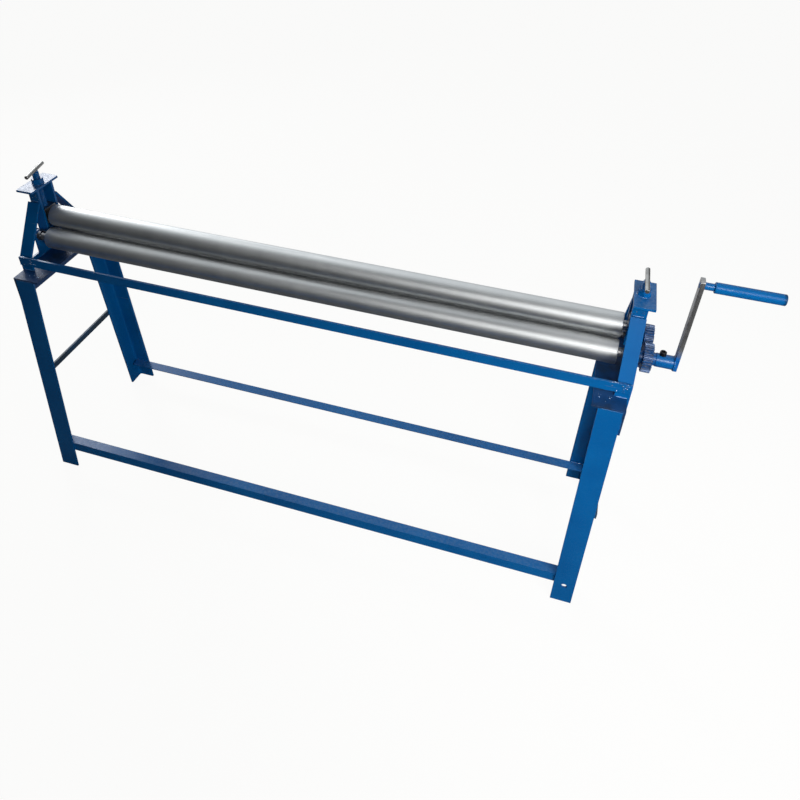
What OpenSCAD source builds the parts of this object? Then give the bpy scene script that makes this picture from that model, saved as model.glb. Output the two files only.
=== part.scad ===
// Three-roll bending machine for sheet metal on a welded stand: a lifting top roller,
// two geared lower rollers, and a hand crank on the front lower one.
// Millimetres. X runs along the rollers with the crank at the right, the front is -Y,
// and the floor under the middle of the stand is the origin.

/* [Stand] */
// Length over the outer faces of the legs
stand_l = 1380; // [900:10:2100]
// Height of the leg tops
leg_h = 582; // [450:2:800]
// Depth over the tops of the legs
top_depth = 288; // [240:2:360]
// Depth over the feet
foot_depth = 380; // [300:2:520]
// Flange width of the leg angle
leg_w = 48; // [38:1:60]
// Thickness of the leg angle
leg_t = 5; // [3:0.5:8]
// Flange width of the floor rail angle
rail_w = 25; // [18:1:35]
// Thickness of the floor rail angle
rail_t = 3; // [2:0.5:5]
// Height of the front rail's top, measured along the leg
front_rail_h = 80; // [50:1:160]
// Height of the rear rail's top, measured along the leg
rear_rail_h = 68; // [50:1:160]
// Height of the side stretcher's top edge
stretcher_h = 297; // [200:1:400]
// Width of the side stretcher flat
stretcher_w = 16; // [12:1:30]
// Thickness of the side stretcher flat
stretcher_t = 5; // [3:0.5:8]
// Diameter of the hole in the right front foot
foot_hole_d = 13; // [8:0.5:18]
// Height of that hole, measured along the leg
foot_hole_h = 53; // [30:1:80]

/* [End frames] */
// Flange width of the crosspiece angle
cross_w = 65; // [50:1:80]
// Thickness of the crosspiece angle
cross_t = 5; // [3:0.5:8]
// Thickness of the side plate
plate_t = 5; // [4:0.5:10]
// How far the side plate hangs below the top of the crosspiece
plate_lap = 42; // [20:1:60]
// Height of the side plate's wide foot over the crosspiece
plate_foot_h = 11; // [6:1:20]
// Width of the brace flat
brace_w = 30; // [24:1:40]
// Thickness of the brace flat
brace_t = 5; // [3:0.5:8]
// Depth over the two braces at their knees
knee_depth = 210; // [170:2:260]
// Height of the knee's inner corner over the crosspiece
knee_h = 27.5; // [20:0.5:40]
// Height of the brace's inner top corner over the crosspiece
brace_top_h = 140; // [110:1:165]
// Width of the guide flats
guide_w = 25; // [20:1:32]
// Thickness of the guide flats
guide_t = 6; // [4:0.5:10]
// Width of the slot between the two guides
slot_w = 42; // [34:1:60]
// Height of the guide tops over the crosspiece
neck_h = 173; // [150:1:220]
// Distance of the screw axis from the side plate's outer face
neck_inset = 14; // [12:0.5:18]
// Length of the cap plate
cap_l = 92; // [70:1:120]
// Width of the cap plate
cap_w = 42; // [34:1:60]
// Thickness of the cap plate
cap_t = 5; // [4:0.5:10]
// Width of the tie bar
tie_w = 22; // [16:1:30]
// Thickness of the tie bar
tie_t = 5; // [3:0.5:8]
// Height of the tie bar's lower edge over the crosspiece
tie_h = 15; // [5:1:25]

/* [Rollers] */
// Diameter of the rollers
roller_d = 51; // [38:1:62]
// Wall of the roller tube
roller_wall = 5; // [3:0.5:8]
// Gap between the roller ends and the guides
roller_end_gap = 8; // [4:0.5:25]
// Least gap between the two lower rollers
lower_gap = 5; // [2:0.5:20]
// Gap between the top roller and the lower ones, as the machine stands
nip_gap = 4; // [4:0.5:10]
// Height of the lower roller axes over the crosspiece
lower_h = 51; // [45:1:70]
// Diameter of the journals
journal_d = 20; // [15:0.5:25]
// Wall of the lower bearing bushes
bush_wall = 2; // [1.5:0.5:4]
// Length of the lower bearing bushes
bush_l = 18; // [12:1:24]
// Height of the bearing blocks above the top roller's axis
block_up = 21; // [20:1:28]
// Depth of the bearing blocks below the top roller's axis
block_down = 15; // [13:1:20]

/* [Drive] */
// Module of the gears
gear_module = 2; // [1.5:0.25:2.5]
// Teeth on each roller gear
gear_teeth = 28; // [24:1:32]
// Teeth on the idler gear
idler_teeth = 16; // [15:1:18]
// Face width of the gears
gear_w = 18; // [12:1:24]
// Diameter of the gear hubs
hub_d = 26; // [26:1:34]
// Length of the crank from axis to axis
crank_len = 190; // [140:2:260]
// Diameter of the crank socket
socket_d = 28; // [26:0.5:36]
// Length of the crank socket
socket_l = 35; // [28:1:50]
// Width of the crank arm
arm_w = 20; // [16:1:28]
// Thickness of the crank arm
arm_t = 8; // [6:0.5:12]
// Diameter of the grip
grip_d = 21; // [20:0.5:35]
// Length of the grip
grip_l = 121; // [90:1:150]
// Diameter of the spindle inside the grip
spindle_d = 12; // [10:0.5:13]

/* [Adjusters] */
// Diameter of the adjusting screws
screw_d = 16; // [12:1:18]
// Width across the flats of the screw nuts
nut_af = 24; // [19:1:30]
// Height of the screw nuts
nut_h = 13; // [8:0.5:16]
// Diameter of the tee bars
tee_d = 9; // [7:0.5:12]
// Length of the tee bars
tee_l = 80; // [60:1:110]
// Height of the tee bars over the cap plate
tee_h = 33; // [28:1:50]
// How far the left tee bar is turned from lying front to back
tee_turn = 13; // [0:1:90]

/* [Hidden] */
$fn = 64;

blue = [0.02, 0.33, 0.62];
steel = [0.72, 0.73, 0.74];
bright = [0.82, 0.83, 0.84];
dark = [0.10, 0.10, 0.11];

// Overrun of cuts
over = 1;
// Radial clearance of turning fits
run_gap = 0.05;
// Radial clearance of pressed and threaded pieces
fit_gap = 0.02;
// Clearance of the sliding blocks and the idler on each side
slide_gap = 0.3;
// End play between turning and fixed pieces
side_play = 1;

// Stand
half_l = stand_l / 2;
foot_half = foot_depth / 2;
top_half = top_depth / 2;
splay = atan((foot_half - top_half) / leg_h);
leg_len = leg_h / cos(splay);
root_share = 1;
toe_share = 0.5;
leg_root = leg_t * root_share;
rail_root = rail_t * root_share;
rail_half = half_l - leg_t - leg_root;
stretcher_inset = 6;
stretcher_half = foot_half - stretcher_h * tan(splay) - stretcher_inset;

// End frames, with the top of the crosspiece as their base
base_z = leg_h + cross_t;
plate_in = half_l + cross_t;
plate_out = plate_in + plate_t;
brace_in = plate_out - brace_w;
neck_x = plate_out - neck_inset;
guide_in = plate_in - guide_w;
slot_half = slot_w / 2;
guide_out = slot_half + guide_t;
column_half = slot_half + guide_t / 3;
neck_z = base_z + neck_h;
cap_z = neck_z + cap_t;
cap_overhang = 10;
cap_x = plate_out + cap_overhang - cap_w / 2;
knee_y = knee_depth / 2;
plate_foot_half = knee_y - brace_t;
tie_inset = 3;
tie_half = plate_out - tie_inset;

// Gears
pressure_angle = 20;
addendum_share = 0.95;
dedendum_share = 1.25;
backlash_share = 0.1;
flank_steps = 5;
gear_pitch_r = gear_module * gear_teeth / 2;
idler_pitch_r = gear_module * idler_teeth / 2;
gear_tip_r = gear_pitch_r + gear_module * addendum_share;
tip_gap_share = 1.1;
gear_tip_gap = gear_module * tip_gap_share;
mesh_distance = gear_pitch_r + idler_pitch_r;

// Roller axes
roller_r = roller_d / 2;
journal_r = journal_d / 2;
lower_y = max(gear_tip_r + gear_tip_gap / 2, roller_r + lower_gap / 2);
lower_z = base_z + lower_h;
top_z = lower_z + sqrt(pow(roller_d + nip_gap, 2) - pow(lower_y, 2));
idler_z = lower_z - sqrt(pow(mesh_distance, 2) - pow(lower_y, 2));
roller_end = guide_in - roller_end_gap;
roller_chamfer = roller_wall / 5;
plug_l = 14;

// Lower bearings
bush_r = journal_r + run_gap + bush_wall;
bush_proud = 4;
bush_out = plate_out + bush_proud;
bush_in = bush_out - bush_l;
ear_wall = 2;
ear_r = bush_r + ear_wall;
pedestal_half = lower_y + ear_r;
guide_gap = 3;
guide_z = lower_z + ear_r + guide_gap;

// Along the drive, outwards from the right side plate
shaft_proud = 3;
hub_start = bush_out + side_play;
hub_in_l = 6;
hub_out_l = 7;
gear_in = hub_start + hub_in_l;
gear_out = gear_in + gear_w;
hub_end = gear_out + hub_out_l;
socket_in = hub_end;
socket_out = socket_in + socket_l;
socket_floor = 6;
arm_out = socket_out + arm_t;
drive_end = socket_out - socket_floor - side_play;
rear_drive_end = gear_out + shaft_proud;
collar_w = 10;
collar_wall = 6;
collar_end = hub_start + collar_w;
left_end = collar_end + shaft_proud;
shaft_chamfer = 1;
hub_rim = shaft_chamfer / 2;

// Keys between the gears and their shafts
key_w = 6;
key_h = 4;
key_depth = 2.5;
key_end_gap = 1;
key_start = gear_in + key_end_gap;
key_l = gear_w - key_end_gap * 2;
key_z = journal_r - key_depth;

// Idler
stud_r = 6;
stud_thread_r = 6;
stud_collar_r = 10;
stud_nut_af = 19;
stud_nut_h = 10;
idler_play = 0.3;
stud_end = gear_out + idler_play;
idler_washer_r = 10;
idler_washer_t = 1.6;
idler_screw_r = 3;
idler_screw_depth = 14;
idler_head_r = 5;
idler_head_h = 6;

// Crank
crank_z = lower_z + crank_len;
clamp_share = 0.32;
clamp_x = socket_in + socket_l * clamp_share;
clamp_r = 4;
clamp_head_r = 6.5;
clamp_head_h = 8;
hex_share = 0.55;
arm_over_tip = 12;
arm_corner = 2;
spindle_r = spindle_d / 2;
shoulder_step = 1;
shoulder_r = spindle_r + shoulder_step;
grip_stand = 18;
grip_in = arm_out + grip_stand;
grip_out = grip_in + grip_l;
grip_r = grip_d / 2;
grip_recess = 9;
grip_rim = 2;
recess_r = grip_r - grip_rim;
grip_seat = grip_out - grip_recess;
grip_thread_r = 4;
grip_washer_t = 1.6;
grip_nut_af = 13;
grip_nut_h = 6.5;
grip_round = 1;

// Bearing blocks
block_inset = 2;
block_play = 0.5;
block_in = guide_in + block_inset;
block_out = plate_in - block_play;

// Adjusting screws
block_top = top_z + block_up;
spigot_r = 5;
spigot_l = 8;
groove_r = 3.5;
groove_l = 3.4;
groove_drop = 3;
pin_r = 1.5;
pin_gap = 0.1;
pin_z = block_top - groove_drop - groove_l / 2;
pin_y = groove_r + pin_r + pin_gap;
screw_r = screw_d / 2;
tee_z = cap_z + tee_h;
saddle_depth = 1.5;
screw_top = tee_z - tee_d / 2 + saddle_depth;
cap_hole_r = screw_r + side_play / 2;
bar_round = 1;
screw_chamfer = 1.5;

// An angle section with its heel at the origin
module angle_section(size, wall, root_r) {
    toe_r = wall * toe_share;
    module flange() {
        square([size - toe_r, wall]);
        square([size, wall - toe_r]);
        translate([size - toe_r, wall - toe_r]) circle(r = toe_r);
    }
    flange();
    mirror([1, -1]) flange();
    if (root_r > 0)
        difference() {
            square(wall + root_r);
            translate([wall + root_r, wall + root_r]) circle(r = root_r);
        }
}

// Left or right copies of what is drawn for the right, rear copies of what is drawn for the front
module left() {
    mirror([1, 0, 0]) children();
}
module rear() {
    mirror([0, 1, 0]) children();
}

// An outline in Y and Z, given a length along X from x0
module along_x(x0, length) {
    translate([x0, 0, 0]) rotate([90, 0, 90]) linear_extrude(length) children();
}

// A turned piece about the X axis, from points of radius and X
module turned(points) {
    rotate([0, 90, 0]) rotate_extrude() polygon(points);
}

// A turned bar with both rims broken
module turned_bar(r, x0, x1, rim) {
    turned([[0, x0], [r - rim, x0], [r, x0 + rim], [r, x1 - rim], [r - rim, x1], [0, x1]]);
}

module rod_x(r, x0, x1) {
    translate([x0, 0, 0]) rotate([0, 90, 0]) cylinder(h = x1 - x0, r = r);
}

module at_axis(y, z) {
    translate([0, y, z]) children();
}

// A hexagon given across its flats
module hexagon(af) {
    circle(r = af / sqrt(3), $fn = 6);
}

// A rectangle about the origin with rounded corners
module rounded_bar(w, l, r) {
    square([w - r * 2, l], center = true);
    square([w, l - r * 2], center = true);
    for (i = [-1, 1], j = [-1, 1])
        translate([i * (w / 2 - r), j * (l / 2 - r)]) circle(r = r);
}

// The frame of a front leg: Z runs up the leg, and Y = 0 is its outer front face
module leg_frame() {
    translate([0, -foot_half, 0]) rotate([-splay, 0, 0]) children();
}

module leg() {
    color(blue) intersection() {
        leg_frame()
            translate([half_l, 0, -leg_w]) linear_extrude(leg_len + leg_w * 2)
                mirror([1, 0]) angle_section(leg_w, leg_t, leg_root);
        translate([0, -foot_depth, 0]) cube([stand_l, foot_depth, leg_h]);
    }
}

module left_front_leg() {
    left() leg();
}
module left_rear_leg() {
    left() rear() leg();
}
module right_front_leg() {
    color(blue) difference() {
        leg();
        leg_frame()
            translate([half_l - leg_w / 2, leg_t + over, foot_hole_h]) rotate([90, 0, 0])
                cylinder(h = leg_t + over * 2, d = foot_hole_d);
    }
}
module right_rear_leg() {
    rear() leg();
}

module crosspiece() {
    color(blue)
        translate([plate_in, top_half, base_z]) rotate([90, 0, 0]) linear_extrude(top_depth)
            mirror([1, 0]) mirror([0, 1]) angle_section(cross_w, cross_t, 0);
}
module left_crosspiece() {
    left() crosspiece();
}
module right_crosspiece() {
    crosspiece();
}

module stretcher() {
    color(blue)
        translate([half_l, -stretcher_half, stretcher_h - stretcher_w])
            cube([stretcher_t, stretcher_half * 2, stretcher_w]);
}
module left_stretcher() {
    left() stretcher();
}
module right_stretcher() {
    stretcher();
}

// Floor rails lie against the inner faces of the leg flanges
module floor_rail(height) {
    color(blue) leg_frame() along_x(-rail_half, rail_half * 2)
        translate([leg_t, height]) mirror([0, 1]) angle_section(rail_w, rail_t, rail_root);
}
module front_rail() {
    floor_rail(front_rail_h);
}
module rear_rail() {
    rear() floor_rail(rear_rail_h);
}

module tie_bar() {
    color(blue)
        translate([-tie_half, -knee_y - tie_t, base_z + tie_h])
            cube([tie_half * 2, tie_t, tie_w]);
}
module front_tie_bar() {
    tie_bar();
}
module rear_tie_bar() {
    rear() tie_bar();
}

// The side plate: a lap over the crosspiece, a wide foot, a pedestal with an ear round each
// lower bush, and a column up to the cap
module side_plate() {
    half_outline = [
        [knee_y, base_z - plate_lap], [knee_y, base_z],
        [plate_foot_half, base_z], [plate_foot_half, base_z + plate_foot_h],
        [pedestal_half, base_z + plate_foot_h], [pedestal_half, lower_z],
        [column_half, lower_z], [column_half, neck_z]
    ];
    last = len(half_outline) - 1;
    color(blue) along_x(plate_in, plate_t) difference() {
        union() {
            polygon(concat(half_outline,
                [for (i = [last : -1 : 0]) [-half_outline[i][0], half_outline[i][1]]]));
            for (i = [-1, 1])
                translate([i * lower_y, lower_z]) circle(r = ear_r);
        }
        for (i = [-1, 1])
            translate([i * lower_y, lower_z]) circle(r = bush_r + fit_gap);
    }
}
module left_side_plate() {
    left() side_plate();
}
module right_side_plate() {
    color(blue) difference() {
        side_plate();
        at_axis(0, idler_z) rod_x(stud_thread_r + fit_gap, plate_in - over, plate_out + over);
    }
}

// A brace: a flat that slants down from the guides to its knee, then stands on the crosspiece
module brace() {
    top = [guide_out, base_z + brace_top_h];
    knee = [plate_foot_half, base_z + knee_h];
    slope = (knee[1] - top[1]) / (knee[0] - top[0]);
    run = norm(knee - top);
    across = [top[1] - knee[1], knee[0] - top[0]] / run * brace_t;
    outer_top = top + across;
    outer_knee_z = outer_top[1] + (knee_y - outer_top[0]) * slope;
    color(blue) rear() along_x(brace_in, brace_w)
        polygon([top, outer_top, [knee_y, outer_knee_z], [knee_y, base_z],
            [plate_foot_half, base_z], knee]);
}
module left_front_brace() {
    left() brace();
}
module left_rear_brace() {
    left() rear() brace();
}
module right_front_brace() {
    brace();
}
module right_rear_brace() {
    rear() brace();
}

// Two upright flats on the column, between which a bearing block slides
module guides() {
    color(blue) for (i = [-1, 1])
        translate([guide_in, i * (slot_half + guide_t / 2) - guide_t / 2, guide_z])
            cube([guide_w, guide_t, neck_z - guide_z]);
}
module left_guides() {
    left() guides();
}
module right_guides() {
    guides();
}

module cap() {
    color(blue) translate([0, 0, neck_z]) linear_extrude(cap_t) difference() {
        translate([cap_x, 0]) rounded_bar(cap_w, cap_l, bar_round);
        translate([neck_x, 0]) circle(r = cap_hole_r);
    }
}
module left_cap() {
    left() cap();
}
module right_cap() {
    cap();
}

module screw_nuts() {
    color(blue) for (i = [-1, 1])
        translate([i * neck_x, 0, cap_z]) intersection() {
            linear_extrude(nut_h) difference() {
                rotate(30) hexagon(nut_af);
                circle(r = screw_r + run_gap);
            }
            cylinder(h = nut_h, r1 = nut_af / sqrt(3), r2 = nut_af / 2 + bar_round / 2);
        }
}

module bush() {
    color(steel) turned([
        [journal_r + run_gap, bush_in], [bush_r, bush_in],
        [bush_r, bush_out], [journal_r + run_gap, bush_out]
    ]);
}
module lower_bushes() {
    for (i = [-1, 1]) {
        at_axis(i * lower_y, lower_z) bush();
        at_axis(i * lower_y, lower_z) left() bush();
    }
}

// The idler turns on a shouldered stud that is bolted through the right side plate
module idler_stud() {
    color(steel) at_axis(0, idler_z) difference() {
        turned([
            [0, plate_in - stud_nut_h - side_play], [stud_thread_r, plate_in - stud_nut_h - side_play],
            [stud_thread_r, plate_out], [stud_collar_r, plate_out],
            [stud_collar_r, gear_in - idler_play], [stud_r, gear_in - idler_play],
            [stud_r, stud_end], [0, stud_end]
        ]);
        rod_x(idler_screw_r + fit_gap, stud_end - idler_screw_depth, stud_end + over);
    }
}
module idler_stud_nut() {
    color(steel) at_axis(0, idler_z)
        translate([plate_in - stud_nut_h, 0, 0]) rotate([90, 0, 90]) linear_extrude(stud_nut_h)
            difference() {
                hexagon(stud_nut_af);
                circle(r = stud_thread_r + fit_gap);
            }
}
module idler_washer() {
    color(steel) at_axis(0, idler_z)
        along_x(stud_end, idler_washer_t) difference() {
            circle(r = idler_washer_r);
            circle(r = idler_screw_r + fit_gap);
        }
}

// A cap screw along X with its head's seat at x0, its tip at x0 - depth, and a hexagon socket
module cap_screw(r, depth, head_r, head_h, x0) {
    difference() {
        turned([
            [0, x0 - depth], [r, x0 - depth], [r, x0], [head_r, x0],
            [head_r, x0 + head_h - r / 4], [head_r - r / 4, x0 + head_h], [0, x0 + head_h]
        ]);
        along_x(x0 + head_h / 2, head_h) hexagon(head_r * hex_share * 2);
    }
}
module idler_screw() {
    color(dark) at_axis(0, idler_z)
        cap_screw(idler_screw_r, idler_screw_depth - side_play,
            idler_head_r, idler_head_h, stud_end + idler_washer_t);
}

// A spur gear outline with one tooth centred on the angle given
function involute(r, base_r) =
    let (a = acos(min(1, base_r / r))) tan(a) * 180 / PI - a;
module gear_outline(teeth, tooth_at) {
    pitch_r = gear_module * teeth / 2;
    base_r = pitch_r * cos(pressure_angle);
    tip_r = pitch_r + gear_module * addendum_share;
    root_r = pitch_r - gear_module * dedendum_share;
    start_r = max(base_r, root_r);
    thin = gear_module * backlash_share / pitch_r / 2 * 180 / PI;
    half_at_pitch = 90 / teeth - thin + involute(pitch_r, base_r);
    flank = [for (i = [0 : flank_steps])
        let (r = start_r + (tip_r - start_r) * i / flank_steps)
            [r, half_at_pitch - involute(r, base_r)]];
    side = concat([[root_r, flank[0][1]]], flank);
    last = len(side) - 1;
    polygon([for (t = [0 : teeth - 1], s = [-1, 1], i = [0 : last])
        let (
            point = side[s < 0 ? i : last - i],
            a = tooth_at + t * 360 / teeth + s * point[1]
        )
            point[0] * [cos(a), sin(a)]]);
}

// Angles of the lines of centres, from the front gear to the idler and the idler to the rear gear
front_line = atan2(idler_z - lower_z, lower_y);
rear_line = -front_line;
idler_pitch = 360 / idler_teeth;
idler_tooth = 180 + front_line;
front_tooth = front_line + 180 / gear_teeth;
rear_lead = idler_tooth - rear_line - idler_pitch * floor((idler_tooth - rear_line) / idler_pitch);
rear_tooth = 180 + rear_line - rear_lead * idler_teeth / gear_teeth + 180 / gear_teeth;

module idler_gear() {
    color(blue) at_axis(0, idler_z) along_x(gear_in, gear_w) difference() {
        gear_outline(idler_teeth, idler_tooth);
        circle(r = stud_r + run_gap);
    }
}

module key_slot() {
    translate([hub_start - over, -key_w / 2 - fit_gap, 0])
        cube([hub_end - hub_start + over * 2, key_w + fit_gap * 2, key_z + key_h + fit_gap]);
}
module roller_gear(tooth_at, outer_end) {
    color(blue) difference() {
        union() {
            along_x(gear_in, gear_w) gear_outline(gear_teeth, tooth_at);
            turned_bar(hub_d / 2, hub_start, outer_end, hub_rim);
        }
        rod_x(journal_r + fit_gap, hub_start - over, hub_end + over);
        key_slot();
    }
}
module front_gear() {
    at_axis(-lower_y, lower_z) roller_gear(front_tooth, hub_end);
}
module rear_gear() {
    at_axis(lower_y, lower_z) roller_gear(rear_tooth, gear_out);
}

module gear_key() {
    color(steel) translate([key_start, -key_w / 2, key_z]) cube([key_l, key_w, key_h]);
}
module front_gear_key() {
    at_axis(-lower_y, lower_z) gear_key();
}
module rear_gear_key() {
    at_axis(lower_y, lower_z) gear_key();
}

// A roller tube with broken rims
module roller_tube() {
    bore_r = roller_r - roller_wall;
    color(bright) turned([
        [bore_r, -roller_end], [roller_r - roller_chamfer, -roller_end],
        [roller_r, roller_chamfer - roller_end], [roller_r, roller_end - roller_chamfer],
        [roller_r - roller_chamfer, roller_end], [bore_r, roller_end]
    ]);
}

// A journal with its plug, which is pressed into the end of the tube
module journal(end_x) {
    plug_r = roller_r - roller_wall - fit_gap;
    color(steel) turned([
        [0, roller_end - plug_l], [plug_r, roller_end - plug_l],
        [plug_r, roller_end - shaft_chamfer], [journal_r, roller_end - shaft_chamfer],
        [journal_r, end_x - shaft_chamfer], [journal_r - shaft_chamfer, end_x], [0, end_x]
    ]);
}
module drive_journal(end_x) {
    color(steel) difference() {
        journal(end_x);
        translate([key_start - fit_gap, -key_w / 2 - fit_gap, key_z - fit_gap])
            cube([key_l + fit_gap * 2, key_w + fit_gap * 2, key_h]);
    }
}

module top_roller() {
    at_axis(0, top_z) roller_tube();
}
module top_journals() {
    end_x = plate_in - side_play;
    at_axis(0, top_z) journal(end_x);
    at_axis(0, top_z) left() journal(end_x);
}
module front_roller() {
    at_axis(-lower_y, lower_z) roller_tube();
}
module front_left_journal() {
    at_axis(-lower_y, lower_z) left() journal(left_end);
}
module front_drive_journal() {
    at_axis(-lower_y, lower_z) drive_journal(drive_end);
}
module rear_roller() {
    at_axis(lower_y, lower_z) roller_tube();
}
module rear_left_journal() {
    at_axis(lower_y, lower_z) left() journal(left_end);
}
module rear_drive_journal() {
    at_axis(lower_y, lower_z) drive_journal(rear_drive_end);
}

// Collars that keep the lower rollers in place endways, each with a socket set screw
set_screw_r = 3;
module collar() {
    outer_r = journal_r + collar_wall;
    color(steel) difference() {
        turned([
            [journal_r + fit_gap, hub_start], [outer_r - shaft_chamfer, hub_start],
            [outer_r, hub_start + shaft_chamfer], [outer_r, collar_end - shaft_chamfer],
            [outer_r - shaft_chamfer, collar_end], [journal_r + fit_gap, collar_end]
        ]);
        translate([hub_start + collar_w / 2, 0, 0])
            cylinder(h = outer_r + over, r = set_screw_r + fit_gap);
    }
}
module collar_screw() {
    screw_l = collar_wall - shaft_chamfer;
    color(dark) translate([hub_start + collar_w / 2, 0, journal_r + fit_gap]) difference() {
        cylinder(h = screw_l, r = set_screw_r);
        translate([0, 0, screw_l / 2])
            cylinder(h = screw_l, r = set_screw_r * hex_share, $fn = 6);
    }
}
module front_collar() {
    at_axis(-lower_y, lower_z) left() collar();
}
module rear_collar() {
    at_axis(lower_y, lower_z) left() collar();
}
module front_collar_screw() {
    at_axis(-lower_y, lower_z) left() collar_screw();
}
module rear_collar_screw() {
    at_axis(lower_y, lower_z) left() collar_screw();
}

// The crank, at the end of the front lower shaft
module crank_socket() {
    bore_end = socket_out - socket_floor;
    color(blue) at_axis(-lower_y, lower_z) difference() {
        turned_bar(socket_d / 2, socket_in, socket_out, hub_rim);
        rod_x(journal_r + fit_gap, socket_in - over, bore_end);
        translate([clamp_x, 0, 0]) cylinder(h = socket_d / 2 + over, r = clamp_r + fit_gap);
    }
}
module clamp_screw() {
    seat = socket_d / 2 + side_play;
    color(dark) at_axis(-lower_y, lower_z) translate([clamp_x, 0, 0]) rotate([0, -90, 0])
        cap_screw(clamp_r, seat - journal_r - fit_gap, clamp_head_r, clamp_head_h, seat);
}
module crank_arm() {
    foot_z = lower_z - socket_d / 2;
    tip_z = crank_z + arm_over_tip;
    color(steel) along_x(socket_out, arm_t) difference() {
        translate([-lower_y, (foot_z + tip_z) / 2]) rounded_bar(arm_w, tip_z - foot_z, arm_corner);
        translate([-lower_y, crank_z]) circle(r = spindle_r + fit_gap);
    }
}
module grip_spindle() {
    color(blue) at_axis(-lower_y, crank_z) turned([
        [0, socket_out], [spindle_r, socket_out], [spindle_r, arm_out],
        [shoulder_r, arm_out], [shoulder_r, grip_in - slide_gap],
        [spindle_r, grip_in - slide_gap], [spindle_r, grip_seat + slide_gap],
        [grip_thread_r, grip_seat + slide_gap],
        [grip_thread_r, grip_out - grip_round], [0, grip_out - grip_round]
    ]);
}
module grip_sleeve() {
    bore_r = spindle_r + run_gap;
    color(blue) at_axis(-lower_y, crank_z) turned([
        [bore_r, grip_in], [grip_r - grip_round, grip_in], [grip_r, grip_in + grip_round],
        [grip_r, grip_out - grip_round], [grip_r - grip_round, grip_out], [recess_r, grip_out],
        [recess_r, grip_seat], [bore_r, grip_seat]
    ]);
}
module grip_washer() {
    color(steel) at_axis(-lower_y, crank_z) along_x(grip_seat + slide_gap, grip_washer_t)
        difference() {
            circle(r = recess_r - slide_gap);
            circle(r = grip_thread_r + fit_gap);
        }
}
module grip_nut() {
    color(steel) at_axis(-lower_y, crank_z)
        along_x(grip_seat + slide_gap + grip_washer_t, grip_nut_h) difference() {
            hexagon(grip_nut_af);
            circle(r = grip_thread_r + fit_gap);
        }
}

// The block that carries one end of the top roller and hangs on the adjusting screw
module block() {
    half_y = slot_half - slide_gap;
    color(steel) difference() {
        translate([block_in, -half_y, top_z - block_down])
            cube([block_out - block_in, half_y * 2, block_down + block_up]);
        at_axis(0, top_z) rod_x(journal_r + run_gap, block_in - over, block_out + over);
        translate([neck_x, 0, block_top - spigot_l - slide_gap])
            cylinder(h = spigot_l + slide_gap + over, r = spigot_r + run_gap);
        at_axis(pin_y, pin_z) rod_x(pin_r + fit_gap, block_in - over, block_out + over);
    }
}
module left_block() {
    left() block();
}
module right_block() {
    block();
}
module retaining_pin() {
    color(steel) at_axis(pin_y, pin_z) rod_x(pin_r, block_in, block_out);
}
module retaining_pins() {
    retaining_pin();
    left() retaining_pin();
}

// An adjusting screw: a grooved spigot that the pin holds, the stem, and a saddle for the tee bar
module adjusting_screw() {
    tip_z = block_top - spigot_l;
    groove_top = pin_z + groove_l / 2;
    groove_bottom = pin_z - groove_l / 2;
    seat_z = block_top + run_gap;
    color(blue) difference() {
        rotate_extrude() polygon([
            [0, tip_z], [spigot_r, tip_z], [spigot_r, groove_bottom], [groove_r, groove_bottom],
            [groove_r, groove_top], [spigot_r, groove_top], [spigot_r, seat_z],
            [screw_r - screw_chamfer, seat_z], [screw_r, seat_z + screw_chamfer],
            [screw_r, screw_top], [0, screw_top]
        ]);
        tee_shape();
    }
}
module tee_shape() {
    translate([0, 0, tee_z]) rotate([0, 0, 90])
        turned_bar(tee_d / 2, -tee_l / 2, tee_l / 2, bar_round);
}
module left_screw() {
    translate([-neck_x, 0, 0]) rotate([0, 0, tee_turn]) adjusting_screw();
}
module right_screw() {
    translate([neck_x, 0, 0]) adjusting_screw();
}
module left_tee_bar() {
    color(steel) translate([-neck_x, 0, 0]) rotate([0, 0, tee_turn]) tee_shape();
}
module right_tee_bar() {
    color(steel) translate([neck_x, 0, 0]) tee_shape();
}

left_front_leg();
left_rear_leg();
right_front_leg();
right_rear_leg();
left_crosspiece();
right_crosspiece();
left_stretcher();
right_stretcher();
front_rail();
rear_rail();
front_tie_bar();
rear_tie_bar();
left_side_plate();
right_side_plate();
left_front_brace();
left_rear_brace();
right_front_brace();
right_rear_brace();
left_guides();
right_guides();
left_cap();
right_cap();
screw_nuts();
lower_bushes();
idler_stud();
idler_stud_nut();
idler_washer();
idler_screw();
idler_gear();
left_block();
right_block();
retaining_pins();
left_screw();
right_screw();
left_tee_bar();
right_tee_bar();
top_roller();
top_journals();
front_roller();
front_left_journal();
front_drive_journal();
rear_roller();
rear_left_journal();
rear_drive_journal();
front_gear();
rear_gear();
front_gear_key();
rear_gear_key();
front_collar();
rear_collar();
front_collar_screw();
rear_collar_screw();
crank_socket();
clamp_screw();
crank_arm();
grip_spindle();
grip_sleeve();
grip_washer();
grip_nut();
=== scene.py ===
import math
import random

import bpy
from mathutils import Matrix, Vector


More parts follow.
